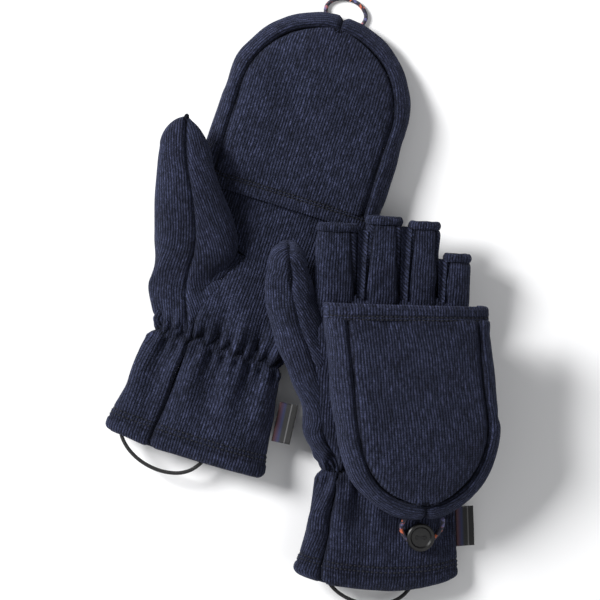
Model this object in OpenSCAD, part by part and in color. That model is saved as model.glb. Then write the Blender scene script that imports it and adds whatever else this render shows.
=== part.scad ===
// A pair of convertible flip-top mittens in sweater fleece, lying on a table.
// Left mitten: back down, palm up, cap closed over the finger stalls.
// Right mitten: palm down and leaning on the left one, cap folded back and looped on its button.
// Every piece is drawn in one hand frame: X across, thumb at -X; Y from wrist to fingertips;
// Z from the back of the hand (0) up to the palm. The right hand is the mirror image in Z.

/* [Hand] */
// Width across the knuckles
hand_w = 91; // [82:1:104]
// Thickness of the stuffed hand
hand_t = 18; // [16:0.5:22]
// Wrist to finger roots
palm_len = 100; // [88:1:116]
// Width at the gathered wrist
wrist_w = 79; // [70:1:92]
// Sweater fleece thickness
wall = 2.6; // [2.2:0.1:3]

/* [Cuff] */
// Wrist to hem edge
cuff_len = 66; // [56:1:78]
// Width of the cuff at its mouth
cuff_w = 97; // [88:1:112]
// Thickness of the cuff at its mouth
cuff_t = 18; // [16:0.5:22]
// Width of the turned-up hem
hem_w = 12; // [9:0.5:14]

/* [Fingers] */
// Middle stall, root to open end; the other stalls keep their share of it
finger_len = 46; // [40:1:54]
// Height of a stall
finger_t = 13; // [12:0.5:13.5]
// Gap between two stalls at their roots
finger_gap = 1.6; // [1.2:0.1:2.4]

/* [Cap] */
// Knuckle hinge to cap tip
cap_len = 115; // [104:1:136]
// Length of the rounded end of the cap
cap_round = 56; // [46:1:66]
// Thickness of the cap at its tip
tip_t = 12.5; // [10:0.5:15]
// How far the side strip shows on each face
rim_in = 9; // [7:0.5:10]

/* [Fastenings] */
// Button diameter
button_d = 16; // [13:0.5:19]
// Button thickness
button_t = 2.6; // [2.2:0.1:3]
// Diameter of the elastic loop cord on the cap
loop_d = 2.3; // [1.8:0.1:2.4]
// Diameter of the hanging loop cord on the cuff
hang_d = 2.2; // [1.8:0.1:2.6]
// Length of the folded label
label_len = 23; // [18:1:26]
// How far the label stands out of the seam
label_out = 10; // [7:0.5:12]

/* [Hidden] */
SIDES = ["left", "right"];
PIECES = ["back_panel", "palm_panel", "thumb_side_panel", "thumb_outer_panel", "thumb_inner_panel",
    "index_stall", "middle_stall", "ring_stall", "little_stall", "finger_hems", "fourchettes",
    "cuff_hem", "wrist_elastic", "cap_back_panel", "cap_palm_panel", "cap_thumb_rim", "cap_little_rim",
    "cap_hem", "cap_loop", "button", "button_stitches", "thread_shank", "hang_loop", "label"];

navy = "#23294a";
charcoal = "#222224";
black = "#141416";

// Clearances
seam_gap = 0.2;        // between two sewn panels
slip = 0.6;            // between a moving piece and what it passes
flat = 0.6;            // how much of a section's underside is pressed flat

// Hand and cuff
hand_cx = [8, -2.5];                      // each mitten bends at its wrist as it lies
boxy = 2.8;                               // superellipse exponent of the hand
button_gap = loop_d + 0.5;                // room for the loop under the button
cuff_z = slip / 3 + button_t + button_gap;// the cuff's back stands off by the button under it
thick_wrist = hand_t - 1;
knuckle_y = palm_len - 11;
inner_z = wall + 0.8;                     // the stalls lie on the cap's back panel
stall_z = [inner_z + 0.2, inner_z + 0.2 + finger_t];

// y, left x, right x, bottom z, top z
function body(k) = [
    [-cuff_len, -cuff_w / 2 - 0.5, cuff_w / 2 - 2, cuff_z, cuff_z + cuff_t],
    [-cuff_len / 2, -cuff_w / 2 + 4, cuff_w / 2 - 4.5, cuff_z, cuff_z + cuff_t - 1],
    [0, -wrist_w / 2, wrist_w / 2, 3.5, thick_wrist + 3.5],
    [palm_len * 0.25, -wrist_w / 2 - 9, wrist_w / 2 + hand_cx[k] * 0.5, 0, hand_t],
    [palm_len * 0.55, (hand_cx[k] - (hand_w + wrist_w) / 2 - 9) / 2, hand_cx[k] + hand_w / 2 - 2, 0, hand_t],
    [knuckle_y - 8, hand_cx[k] - hand_w / 2, hand_cx[k] + hand_w / 2, 0, hand_t],
    [knuckle_y - 3, hand_cx[k] - hand_w / 2, hand_cx[k] + hand_w / 2, inner_z, hand_t - 0.3],
    [palm_len, hand_cx[k] - hand_w / 2, hand_cx[k] + hand_w / 2, inner_z, stall_z[1] + 0.8]
];
bow = [0.02, 0.09];                       // how much the cuff's mouth curves, of its width

// Thumb: share of its length, then centre x, half width, centre z and half thickness.
// The left thumb lies on the palm; the right one lies beside the hand.
thumb_reach = [94, 104];
thumb_base = 26;
thumb_out = hand_w / 2 - 45.5;            // a wider hand carries its thumb outwards
thumb_way = [
    [[0, -29, 22, hand_t - 9, 8.5], [0.3, -31, 26, hand_t + 1, 10], [0.5, -38, 23.5, hand_t + 8, 11],
     [0.72, -47.5, 17.5, hand_t + 13, 10], [0.83, -52, 14.5, hand_t + 13, 9.5],
     [0.93, -57, 10.5, hand_t + 12, 8], [1, -60.5, 3, hand_t + 11, 3]],
    [[0, -32, 17, hand_t - 9, 8.5], [0.26, -42, 17.5, hand_t - 6.5, 9], [0.48, -52, 16, hand_t - 6.5, 9.5],
     [0.7, -59.5, 14.5, hand_t - 7, 9.5], [0.82, -62, 12.5, hand_t - 7.5, 9.5],
     [0.93, -63.5, 9, hand_t - 8, 8], [1, -63.5, 3, hand_t - 8, 3]]
];

// Fingers, thumb side first
finger_w = [for (share = [0.3, 0.27, 0.235, 0.195]) share * (hand_w - 3 * finger_gap)];
finger_reach = [for (share = [0.89, 1, 0.96, 0.58]) share * finger_len];
finger_taper = 2.6;
stall_wall = wall - 0.3;
stall_hem = 5;

// Cap
cap_half = [hand_w / 2 + 6 + wall, hand_w / 2 + 0.5];  // folded and empty, it draws in
cap_shift = 3.5;                          // towards the little finger
cap_t = max(hand_t + slip + wall + 0.8, stall_z[1] + slip + wall + 2.2);  // clears hand and stalls
cap_tip_y = knuckle_y + cap_len;
cap_turn_y = cap_tip_y - cap_round;
cap_hem_y = [knuckle_y - 2, knuckle_y - 9];
cap_hem_w = 9;
hinge_slant = 3;
hinge_drop = 0.3;
skew = [0, 0.06];                         // the folded cap leans, as loose cloth does
hem_slant = [0, 5];
folded = [0, 1];
lean_over = [0, 0.22];                    // the folded cap's palm panel slips sideways

// Fastenings
button_at = [21, -36];
shank_r = 1.4;
label_t = 1;
label_gap = 1.2;

// How each mitten lies
left_turn = -17.5;
left_at = [-46.4, -26.7];
right_turn = -2.5;
right_at = [47.1, -97.2];
lean = asin((hand_t - 4) / (1.1 * hand_w));          // its thumb side lies on the left palm
raise = asin((cap_t - 7) / (palm_len + finger_len + cuff_len));
right_z = cuff_len * sin(raise) + cuff_w * 0.21 * sin(lean) + 0.3;

// ---- Arithmetic ----
function mix(a, b, t) = a + (b - a) * t;
function ease(t) = t * t * (3 - 2 * t);
function power(v, p) = sign(v) * pow(abs(v), p);
function side_of(side) = side == "left" ? 0 : 1;

// A row of a table at y, eased between its neighbours
function row_at(rows, y, i = 0) =
    i >= len(rows) - 2 || y <= rows[i + 1][0]
        ? mix(rows[i], rows[i + 1],
              ease(min(1, max(0, (y - rows[i][0]) / (rows[i + 1][0] - rows[i][0])))))
        : row_at(rows, y, i + 1);

// Points of a section from angle a0 to a1: superellipse of power n, pressed flat below
function arc_of(x0, x1, z0, z1, inset, a0, a1, steps, y, n) =
    let (half = (x1 - x0) / 2 - inset, b0 = (z1 - z0 + flat) / 2, b = b0 - inset, zc = z1 - b0)
    [for (i = [0:steps]) let (a = mix(a0, a1, i / steps))
        [(x0 + x1) / 2 + half * power(cos(a), 2 / n), y,
         max(z0 + inset, zc + b * power(sin(a), 2 / n))]];

function reversed(list) = [for (i = [len(list) - 1:-1:0]) list[i]];

// A strip of cloth seen end on: its outer face, then its inner face back again
function strip_of(x0, x1, z0, z1, skin_t, a0, a1, steps, y, n, inset = 0) = concat(
    arc_of(x0, x1, z0, z1, inset, a0, a1, steps, y, n),
    reversed(arc_of(x0, x1, z0, z1, inset + skin_t, a0, a1, steps, y, n)));

// A solid through rings of equal length. Open ones close with a strip across each end.
module skin(rings, looped = false) {
    n = len(rings[0]);
    m = len(rings);
    walls = [for (i = [0:m - (looped ? 1 : 2)], j = [0:n - 1])
        let (k = (i + 1) % m, l = (j + 1) % n)
        each [[i * n + j, k * n + l, k * n + j], [i * n + j, i * n + l, k * n + l]]];
    ends = looped ? [] : [for (j = [0:n / 2 - 2]) each [
        [j, n - 2 - j, j + 1], [j, n - 1 - j, n - 2 - j],
        [(m - 1) * n + j, (m - 1) * n + j + 1, (m - 1) * n + n - 2 - j],
        [(m - 1) * n + j, (m - 1) * n + n - 2 - j, (m - 1) * n + n - 1 - j]]];
    polyhedron([for (ring = rings) each ring], concat(walls, ends), convexity = 6);
}

// A round cord through its points, as one closed tube of 8 sides
module cord(points, d) {
    last = len(points) - 1;
    skin([for (i = [0:last])
        let (along = points[min(last, i + 1)] - points[max(0, i - 1)],
             t = along / norm(along),
             u = cross([0, 0, 1], t) / norm(cross([0, 0, 1], t)),
             v = cross(t, u))
        [for (k = [0:7]) points[i] + d / 2 * (cos(45 * k) * u - sin(45 * k) * v)]]);
}

// ---- Hand and cuff ----
// The seam angles: where the palm panel meets the thumb side, and where that meets the back
function palm_seam(y) = row_at([[0, 108], [palm_len * 0.4, 96], [palm_len * 0.54, 93],
    [palm_len * 0.62, 140], [palm_len * 0.7, 178]], y)[1];
function back_seam(y) = row_at([[0, 232], [palm_len * 0.2, 222], [palm_len * 0.48, 205],
    [palm_len * 0.7, 182]], y)[1];

body_rows = concat([for (share = [-1, -0.8, -0.5, -0.25, -0.1]) share * cuff_len],
    [for (share = [0, 0.12, 0.25, 0.35, 0.45, 0.54, 0.6, 0.65, 0.7]) share * palm_len],
    [knuckle_y - 8, knuckle_y - 5, knuckle_y - 3, palm_len]);

// The mouth of the cuff bows out in the middle
function bowed(p, k) = let (t = max(0, -p[1] / cuff_len))
    [p[0], p[1] + bow[k] * cuff_w * t * t * (pow(p[0] / cuff_w * 2, 2) - 0.35), p[2]];

function body_strip(k, y, a0, a1, steps) = let (r = row_at(body(k), y))
    [for (p = strip_of(r[1], r[2], r[3], r[4], wall, a0, a1, steps, y, boxy)) bowed(p, k)];

gap_angle = 0.4;

module back_panel(k) color(navy)
    skin([for (y = body_rows) body_strip(k, y, back_seam(y) + gap_angle, 360 - gap_angle, 12)]);

module palm_panel(k) color(navy)
    skin([for (y = body_rows) body_strip(k, y, gap_angle, palm_seam(y) - gap_angle, 12)]);

module thumb_side_panel(k) color(navy) difference() {
    skin([for (y = [for (y = body_rows) if (y < palm_len * 0.66) y])
        body_strip(k, y, palm_seam(y) + gap_angle, back_seam(y) - gap_angle, 9)]);
    thumb_core(k);
}

// The whole hand as one solid, a little larger, to trim the thumb
module hand_core(k) skin([for (y = concat(body_rows, [palm_len + finger_len]))
    if (y > -cuff_len / 2) let (r = row_at(body(k), y))
        arc_of(r[1], r[2], r[3], r[4], -0.6, 0, 345, 23, y, boxy)]);

module band(k, y0, y1, skin_t, inset) {
    rows = [y0, y1];
    skin(concat(
        [for (y = rows) let (r = row_at(body(k), y))
            [for (p = arc_of(r[1], r[2], r[3], r[4], inset, 0, 345, 23, y, boxy)) bowed(p, k)]],
        [for (y = reversed(rows)) let (r = row_at(body(k), y))
            [for (p = arc_of(r[1], r[2], r[3], r[4], inset + skin_t, 0, 345, 23, y, boxy)) bowed(p, k)]]),
        looped = true);
}

module cuff_hem(k) color(navy) band(k, -cuff_len + 0.3, -cuff_len + hem_w, 1.8, wall + seam_gap);
module wrist_elastic(k) color(black) band(k, -4, 4, 1, wall + seam_gap + 0.3);

// ---- Thumb ----
function thumb_ring(k, s, inset, a0, a1, steps) =
    let (r = row_at(thumb_way[k], s), w = max(0.1, r[2] - inset), t = max(0.1, r[4] - inset))
    [for (i = [0:steps]) let (a = mix(a0, a1, i / steps))
        [r[1] - thumb_out + w * cos(a), thumb_base + thumb_reach[k] * s, r[3] + t * sin(a)]];

thumb_rows = [0, 0.1, 0.2, 0.3, 0.4, 0.5, 0.61, 0.72, 0.8, 0.87, 0.93, 0.97, 1];

module thumb_core(k) skin([for (s = thumb_rows) if (s < 0.97)
    thumb_ring(k, s, wall + 0.4, 0, 345, 23)]);

module thumb_half(k, a0, a1) color(navy) difference() {
    skin([for (s = thumb_rows) concat(thumb_ring(k, s, 0, a0, a1, 8),
        reversed(thumb_ring(k, s, wall, a0, a1, 8)))]);
    hand_core(k);
}

// ---- Finger stalls ----
function finger_x(i, k) = hand_cx[k] - hand_w / 2 + finger_w[i] / 2 + i * finger_gap
    + (i == 0 ? 0 : [for (k = 0, sum = finger_w[0]; k < i; k = k + 1, sum = sum + finger_w[k]) sum][i - 1]);

function stall_ring(i, k, y, inset) = let (
    half = (finger_w[i] - finger_taper * max(0, y - palm_len) / finger_len) / 2)
    [for (j = [0:15]) let (a = 360 * j / 16)
        [finger_x(i, k) + (half - inset) * power(cos(a), 2 / 2.3), y,
         (stall_z[0] + stall_z[1]) / 2 + (finger_t / 2 - inset) * power(sin(a), 2 / 2.3)]];

module stall_tube(i, k, y0, y1, inset, skin_t) {
    rows = [y0, (y0 + y1) / 2, y1];
    skin(concat([for (y = rows) stall_ring(i, k, y, inset)],
        [for (y = reversed(rows)) stall_ring(i, k, y, inset + skin_t)]), looped = true);
}

module finger_stall(i, k) color(navy)
    stall_tube(i, k, palm_len + 0.3, palm_len + finger_reach[i] - stall_hem, 0, stall_wall);

module finger_hems(k) color(navy) for (i = [0:3])
    stall_tube(i, k, palm_len + finger_reach[i] - stall_hem + seam_gap,
        palm_len + finger_reach[i], 0, stall_wall + 0.5);

// V-shaped gussets that close the gaps between neighbouring stalls
module fourchettes(k) color(navy) for (i = [0:2]) {
    x = finger_x(i, k) + finger_w[i] / 2 + finger_gap / 2;
    reach = min(finger_reach[i], finger_reach[i + 1]) - stall_hem;
    half = finger_gap / 2 - 0.15;
    spread = half + finger_taper / 2 * reach / finger_len;
    translate([x, palm_len, stall_z[0] + finger_t * 0.25]) linear_extrude(finger_t * 0.5)
        polygon([[-half, 0.5], [half, 0.5], [spread, reach], [spread - 0.7, reach],
            [0, 5], [-spread + 0.7, reach], [-spread, reach]]);
}

// ---- Cap, drawn closed over the stalls ----
function cap_cx(k) = hand_cx[k] + cap_shift;
function leaned(p, k) = let (t = min(1, max(0, (cap_turn_y - p[1]) / (cap_turn_y - cap_hem_y[k]))))
    [p[0] + skew[k] * max(0, p[1] - knuckle_y) + lean_over[k] * max(0, p[2] - wall),
     p[1] + t * tan(hem_slant[k]) * (p[0] - cap_cx(k)), p[2]];
function cap_top(y) = row_at([[knuckle_y, cap_t], [mix(knuckle_y, cap_tip_y, 0.55), cap_t - 1],
    [cap_tip_y, tip_t]], y)[1];

// Points of the cap's outline drawn in by some millimetres; u runs 0 to 1 from hem to tip
function cap_rows(k) = [for (y = [0:3]) mix(cap_hem_y[k] + cap_hem_w + 0.3, cap_turn_y, y / 3)];
function cap_half_at(k, y, inset) = y <= cap_turn_y ? cap_half[k] - inset
    : (cap_half[k] - inset) * sqrt(max(0, 1 - pow((y - cap_turn_y) / (cap_round - inset), 2)));

// The side strip's section, n outwards from the outline
function rim_ring(x, y, nx, ny, k) = let (b = cap_top(y) / 2) concat(
    [for (a = [90:-22.5:-90]) let (n = -rim_in * (1 - cos(a)))
        leaned([x + nx * n, y + ny * n, b + b * sin(a)], k)],
    [for (a = [-90:22.5:90]) let (n = -rim_in + (rim_in - wall) * cos(a))
        leaned([x + nx * n, y + ny * n, b + (b - wall) * sin(a)], k)]);

module cap_rim(hand, k) color(navy) {
    straight = [for (y = cap_rows(k)) [hand * cap_half[k], y, hand, 0]];
    round_end = [for (a = [12:12:84]) let (nx = cos(a) / cap_half[k], ny = sin(a) / cap_round)
        [hand * cap_half[k] * cos(a), cap_turn_y + cap_round * sin(a),
         hand * nx / norm([nx, ny]), ny / norm([nx, ny])]];
    tip = [[hand * seam_gap / 2, cap_tip_y, 0, 1]];
    rings = [for (p = concat(straight, round_end, tip))
        rim_ring(cap_cx(k) + p[0], p[1], p[2], p[3], k)];
    skin(hand > 0 ? reversed(rings) : rings);
}

function swell(u) = 1.2 * (1 - u * u);

module cap_palm_panel(k) color(navy) {
    inset = rim_in + seam_gap;
    rows = concat(cap_rows(k), [for (a = [15:15:75]) cap_turn_y + (cap_round - inset) * sin(a)],
        [cap_turn_y + (cap_round - inset) * sin(86)]);
    skin([for (y = rows) let (half = cap_half_at(k, y, inset)) concat(
        [for (i = [8:-1:-8]) let (x = half * i / 8)
            leaned([cap_cx(k) + x, y, cap_top(y) + swell(i / 8) * half / cap_half[k]], k)],
        [for (i = [-8:8]) let (x = half * i / 8)
            leaned([cap_cx(k) + x, y, cap_top(y) - wall + swell(i / 8) * half / cap_half[k]], k)])]);
}

module cap_back_panel(k) color(navy) {
    inset = rim_in + seam_gap;
    half = cap_half[k] - inset;
    base = knuckle_y + 2;
    outline = concat([[-half, base - half * tan(hinge_slant)], [half, base + half * tan(hinge_slant)]],
        [for (a = [0:6:180]) [half * cos(a), cap_turn_y + (cap_round - inset) * sin(a)]]);
    linear_extrude(wall) polygon([for (p = outline)
        [cap_cx(k) + p[0] + skew[k] * max(0, p[1] - knuckle_y), p[1]]]);
}

module cap_hem(k) color(navy) skin([for (s = [0, 0.5, 1])
    [for (p = strip_of(cap_cx(k) - cap_half[k], cap_cx(k) + cap_half[k], 0, cap_t + 1.2, wall + 0.8,
        14, 166, 14, cap_hem_y[k] + s * cap_hem_w, boxy)) leaned(p, k)]]);

// The loop's points: free at the tip of the closed cap, or round the button's shank
free_loop = [[-11, -2, 1.7], [-12, 3, 1.6], [-10.5, 6.5, 1.6], [-7, 9.3, 1.6],
    [-2.5, 10.8, 1.6], [2.5, 10.8, 1.6], [7, 9.3, 1.6], [10.5, 6.5, 1.6], [12, 3, 1.6],
    [11, -2, 1.7]];
hooked_loop = [[-9.5, 12.2, -1.8], [-11, 9, 0.2], [-11.5, 6, 2.6], [-10.5, 2.5, 4.2],
    [-7.5, -1.5, 4.2], [-3.5, -4, 4.2], [0, -4.8, 4.2], [3.5, -4, 4.2], [7.5, -1.5, 4.2],
    [10.8, 2.5, 4.2], [12.2, 6, 2.6], [12.2, 9, 0.2], [11.5, 12, -1.8]];

module cap_loop(k) color(black) {
    if (k == 0) cord([for (p = free_loop) p + [cap_cx(k), cap_tip_y, 0]], loop_d);
    else cord([for (p = hooked_loop) p + [button_at[0], button_at[1], 0]], loop_d);
}

// ---- Fastenings ----
module at_button() translate([button_at[0], button_at[1], cuff_z - button_gap]) mirror([0, 0, 1]) children();

hole_r = 1.1;
hole_pitch = 4.4;
dish = 0.9;

module button() color(charcoal) at_button() difference() {
    rotate_extrude($fn = 48) polygon([[0, 0], [button_d / 2 - 0.9, 0], [button_d / 2, 0.8],
        [button_d / 2, button_t - 0.5], [button_d / 2 - 0.6, button_t],
        [button_d / 2 - 1.8, button_t], [button_d / 2 - 2.6, button_t - dish], [0, button_t - dish]]);
    for (x = [-1, 1]) translate([x * hole_pitch / 2, 0, -1]) cylinder(r = hole_r, h = button_t + 2, $fn = 24);
}

module button_stitches() color(black) at_button() {
    for (x = [-1, 1]) translate([x * hole_pitch / 2, 0, 0])
        cylinder(r = hole_r - 0.2, h = button_t - dish + 0.5, $fn = 24);
    translate([-hole_pitch / 2, -0.6, button_t - dish + 0.05]) cube([hole_pitch, 1.2, 0.45]);
}

module thread_shank() color(black)
    translate([button_at[0], button_at[1], cuff_z - button_gap + 0.1])
        cylinder(r = shank_r, h = button_gap - 0.2, $fn = 24);

hang_points = [[-34, -2.5], [-31, -7], [-26, -11.5], [-19, -15.2], [-11, -17.3], [-3, -17.6],
    [5, -16], [11, -12.6], [15, -8], [18, -2.5]];
hang_x = [-6, 4];
hang_y = -cuff_len + 5;
hang_z = [cuff_z + wall + 4.6, cuff_z + cuff_t - wall - 4.6];

module hang_loop(k) color(black)
    cord([for (p = hang_points) [p[0] + hang_x[k], hang_y + p[1], hang_z[k]]], hang_d);

label_y = -cuff_len * 0.3;
function edge_x(y) = row_at(body(0), y)[2];
label_turn = atan((edge_x(label_y - label_len) - edge_x(label_y)) / label_len);
label_z = cuff_z + cuff_t - (cuff_t + flat) / 2;

module label() color(charcoal)
    translate([edge_x(label_y) + label_gap, label_y, label_z - label_t / 2]) rotate([0, 0, label_turn])
        translate([0, -label_len, 0]) cube([label_out, label_len, label_t]);

// ---- Placing ----
// Folds the cap back about the slanted knuckle line
module fold_back(k) {
    pivot = [cap_cx(k), knuckle_y, -hinge_drop];
    if (folded[k] == 0) children();
    else translate(pivot) rotate([0, 0, hinge_slant]) rotate([180, 0, 0])
        rotate([0, 0, -hinge_slant]) translate(-pivot) children();
}

module lay(side) {
    if (side == "left") translate([left_at[0], left_at[1], 0]) rotate([0, 0, left_turn]) children();
    else translate([right_at[0], right_at[1], right_z]) rotate([0, 0, right_turn])
        rotate([raise, lean, 0]) translate([0, 0, cuff_z + cuff_t]) mirror([0, 0, 1]) children();
}

module piece(name, k) {
    if (name == "back_panel") back_panel(k);
    if (name == "palm_panel") palm_panel(k);
    if (name == "thumb_side_panel") thumb_side_panel(k);
    if (name == "thumb_outer_panel") thumb_half(k, 90.5, 269.5);
    if (name == "thumb_inner_panel") thumb_half(k, -89.5, 89.5);
    if (name == "index_stall") finger_stall(0, k);
    if (name == "middle_stall") finger_stall(1, k);
    if (name == "ring_stall") finger_stall(2, k);
    if (name == "little_stall") finger_stall(3, k);
    if (name == "finger_hems") finger_hems(k);
    if (name == "fourchettes") fourchettes(k);
    if (name == "cuff_hem") cuff_hem(k);
    if (name == "wrist_elastic") wrist_elastic(k);
    if (name == "cap_back_panel") fold_back(k) cap_back_panel(k);
    if (name == "cap_palm_panel") fold_back(k) cap_palm_panel(k);
    if (name == "cap_thumb_rim") fold_back(k) cap_rim(-1, k);
    if (name == "cap_little_rim") fold_back(k) cap_rim(1, k);
    if (name == "cap_hem") fold_back(k) cap_hem(k);
    if (name == "cap_loop") cap_loop(k);
    if (name == "button") button();
    if (name == "button_stitches") button_stitches();
    if (name == "thread_shank") thread_shank();
    if (name == "hang_loop") hang_loop(k);
    if (name == "label") label();
}

for (side = SIDES) for (name = PIECES)
    lay(side) piece(name, side_of(side));
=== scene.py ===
import math

import bmesh
import bpy
import numpy as np
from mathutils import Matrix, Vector


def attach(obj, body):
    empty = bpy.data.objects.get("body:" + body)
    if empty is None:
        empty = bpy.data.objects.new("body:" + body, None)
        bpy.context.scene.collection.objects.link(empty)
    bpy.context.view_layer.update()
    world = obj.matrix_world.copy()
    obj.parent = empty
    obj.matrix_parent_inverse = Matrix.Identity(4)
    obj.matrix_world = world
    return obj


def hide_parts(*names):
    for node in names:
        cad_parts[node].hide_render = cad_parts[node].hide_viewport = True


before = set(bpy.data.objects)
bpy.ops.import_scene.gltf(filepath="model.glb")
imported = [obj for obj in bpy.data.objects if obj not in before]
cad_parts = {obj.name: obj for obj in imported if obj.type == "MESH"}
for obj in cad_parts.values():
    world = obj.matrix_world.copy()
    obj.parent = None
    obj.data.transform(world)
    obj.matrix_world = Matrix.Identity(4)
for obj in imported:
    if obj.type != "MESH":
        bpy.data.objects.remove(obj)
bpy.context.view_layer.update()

SIDES = ("left", "right")
rad = math.radians

# -------------------- sizes, in mm, as in the CAD
HAND_W, HAND_T, PALM, WRIST_W, WALL = 91, 18, 100, 79, 2.6
CUFF_L, CUFF_W, CUFF_T = 66, 97, 18
FINGER_L, FINGER_T, FINGER_GAP = 46, 13, 1.6
CAP_L, CAP_ROUND, TIP_T, RIM_IN = 115, 56, 12.5, 9
BUTTON_T, LOOP_D, HANG_D = 2.6, 2.3, 2.2
HAND_CX = (8, -2.5)
BOXY = 2.8
BUTTON_GAP = LOOP_D + 0.5
CUFF_Z = 0.2 + BUTTON_T + BUTTON_GAP
KNUCKLE = PALM - 11
INNER_Z = WALL + 0.8
STALL_Z = (INNER_Z + 0.2, INNER_Z + 0.2 + FINGER_T)
STALL_MID = (STALL_Z[0] + STALL_Z[1]) / 2
CAP_T = HAND_T + 0.6 + WALL + 0.8
CAP_TIP = KNUCKLE + CAP_L
CAP_TURN = CAP_TIP - CAP_ROUND
CAP_HALF = (HAND_W / 2 + 6 + WALL, HAND_W / 2 + 0.5)
CAP_CX = (HAND_CX[0] + 3.5, HAND_CX[1] + 3.5)
CAP_HEM_Y = (KNUCKLE - 2, KNUCKLE - 9)
CAP_HEM_W = 9
SLANT, DROP = 3, 0.3
SKEW, HEM_SLANT, LEAN_OVER = (0, 0.06), (0, 5), (0, 0.22)
BUTTON_AT = (21, -36)
HANG_X, HANG_Y = (-6, 4), -CUFF_L + 5
HANG_Z = (CUFF_Z + WALL + 4.6, CUFF_Z + CUFF_T - WALL - 4.6)
BOW = (0.02, 0.09)
FLEECE_T, TABLE = 2.3, 0.02
COLUMN, COURSE = 1.62, 1.35     # the knit's pitch across and along


def turn(axis, deg):
    c, s = math.cos(rad(deg)), math.sin(rad(deg))
    return np.array({"x": [[1, 0, 0], [0, c, -s], [0, s, c]], "y": [[c, 0, s], [0, 1, 0], [-s, 0, c]],
                     "z": [[c, -s, 0], [s, c, 0], [0, 0, 1]]}[axis])


LEAN = math.degrees(math.asin((HAND_T - 4) / (1.1 * HAND_W)))
RAISE = math.degrees(math.asin((CAP_T - 7) / (PALM + FINGER_L + CUFF_L)))
RIGHT_Z = CUFF_L * math.sin(rad(RAISE)) + CUFF_W * 0.21 * math.sin(rad(LEAN)) + 0.3
TILT = turn("z", -2.5) @ turn("y", LEAN) @ turn("x", RAISE)
TURNED = (turn("z", -17.5), TILT @ np.diag([1, 1, -1]))
PLACED = (np.array([-46.4, -26.7, 0.0]), np.array([47.1, -97.2, RIGHT_Z]) + TILT @ np.array([0, 0, CUFF_Z + CUFF_T]))


def to_row(k, p):
    """Hand frame, mm -> row frame, metres."""
    return (np.asarray(p, float) @ TURNED[k].T + PLACED[k]) * 0.001


def fold(k, p):
    """The right cap is folded back about the slanted knuckle line."""
    if k == 0:
        return np.asarray(p, float)
    pivot = np.array([CAP_CX[k], KNUCKLE, -DROP])
    m = turn("z", SLANT) @ turn("x", 180) @ turn("z", -SLANT)
    return pivot + (np.asarray(p, float) - pivot) @ m.T


def xyz(x, y, z):
    """Points from their coordinates, where any of them may be shared by all the points."""
    return np.stack(np.broadcast_arrays(x, y, z), -1)


def run_along(points):
    return np.concatenate([[0], np.cumsum(np.linalg.norm(np.diff(points, axis=0), axis=1))])


def at_run(run, points, at):
    return np.stack([np.interp(at, run, points[:, i]) for i in range(3)], -1)


def even(points, n):
    """n points evenly spaced along a polyline, and the run to each."""
    run = run_along(points)
    at = np.linspace(0, run[-1], n)
    return at_run(run, points, at), at


# -------------------- camera
camera = bpy.data.objects.new("camera", bpy.data.cameras.new("camera"))
camera.data.lens, camera.data.sensor_width = 124, 36
camera.location = (0, 0, 1.205)
camera.data.clip_start, camera.data.clip_end = 0.05, 20
bpy.context.collection.objects.link(camera)
bpy.context.scene.camera = camera

# -------------------- node helpers


class Tree:
    def __init__(self, name):
        self.mat = bpy.data.materials.new(name)
        self.mat.use_nodes = True
        self.nodes, self.links = self.mat.node_tree.nodes, self.mat.node_tree.links
        self.bsdf = self.nodes["Principled BSDF"]

    def add(self, kind, **props):
        n = self.nodes.new(kind)
        for key, value in props.items():
            setattr(n, key, value)
        return n

    def put(self, socket, value):
        if isinstance(value, bpy.types.NodeSocket):
            self.links.new(value, socket)
        else:
            socket.default_value = value

    def surface(self, **values):
        """Sets inputs of the surface; a _ in a name stands for its space."""
        for key, value in values.items():
            self.put(self.bsdf.inputs[key.replace("_", " ")], value)

    def math(self, op, a, b=0.0):
        n = self.add("ShaderNodeMath", operation=op)
        self.put(n.inputs[0], a)
        self.put(n.inputs[1], b)
        return n.outputs[0]

    def times(self, a, b):
        return self.math("MULTIPLY", a, b)

    def plus(self, a, b):
        return self.math("ADD", a, b)

    def minus(self, a, b):
        return self.math("SUBTRACT", a, b)

    def attribute(self, name):
        n = self.add("ShaderNodeAttribute", attribute_name=name)
        xyz = self.add("ShaderNodeSeparateXYZ")
        self.links.new(n.outputs["Vector"], xyz.inputs[0])
        return xyz.outputs

    def vector(self, x, y, z=0.0):
        n = self.add("ShaderNodeCombineXYZ")
        for socket, value in zip(n.inputs, (x, y, z)):
            self.put(socket, value)
        return n.outputs[0]

    def noise(self, vector, scale, detail=2.0, rough=0.5):
        n = self.add("ShaderNodeTexNoise")
        self.put(n.inputs["Vector"], vector)
        n.inputs["Scale"].default_value = scale
        n.inputs["Detail"].default_value = detail
        n.inputs["Roughness"].default_value = rough
        return n.outputs["Fac"]

    def ramp(self, fac, stops):
        n = self.add("ShaderNodeValToRGB")
        el = n.color_ramp.elements
        while len(el) < len(stops):
            el.new(0.5)
        for e, (pos, col) in zip(el, stops):
            e.position, e.color = pos, (*col, 1)
        self.put(n.inputs["Fac"], fac)
        return n.outputs["Color"]

    def mix(self, fac, a, b, blend="MIX"):
        n = self.add("ShaderNodeMix", data_type="RGBA", blend_type=blend)
        self.put(n.inputs[0], fac)
        for socket, value in ((n.inputs[6], a), (n.inputs[7], b)):
            self.put(socket, value if isinstance(value, bpy.types.NodeSocket) else (*value, 1))
        return n.outputs[2]

    def bump(self, height, distance, strength=1.0, under=None):
        n = self.add("ShaderNodeBump")
        n.inputs["Strength"].default_value = strength
        n.inputs["Distance"].default_value = distance
        self.put(n.inputs["Height"], height)
        if under is not None:
            self.links.new(under, n.inputs["Normal"])
        return n.outputs[0]


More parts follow.
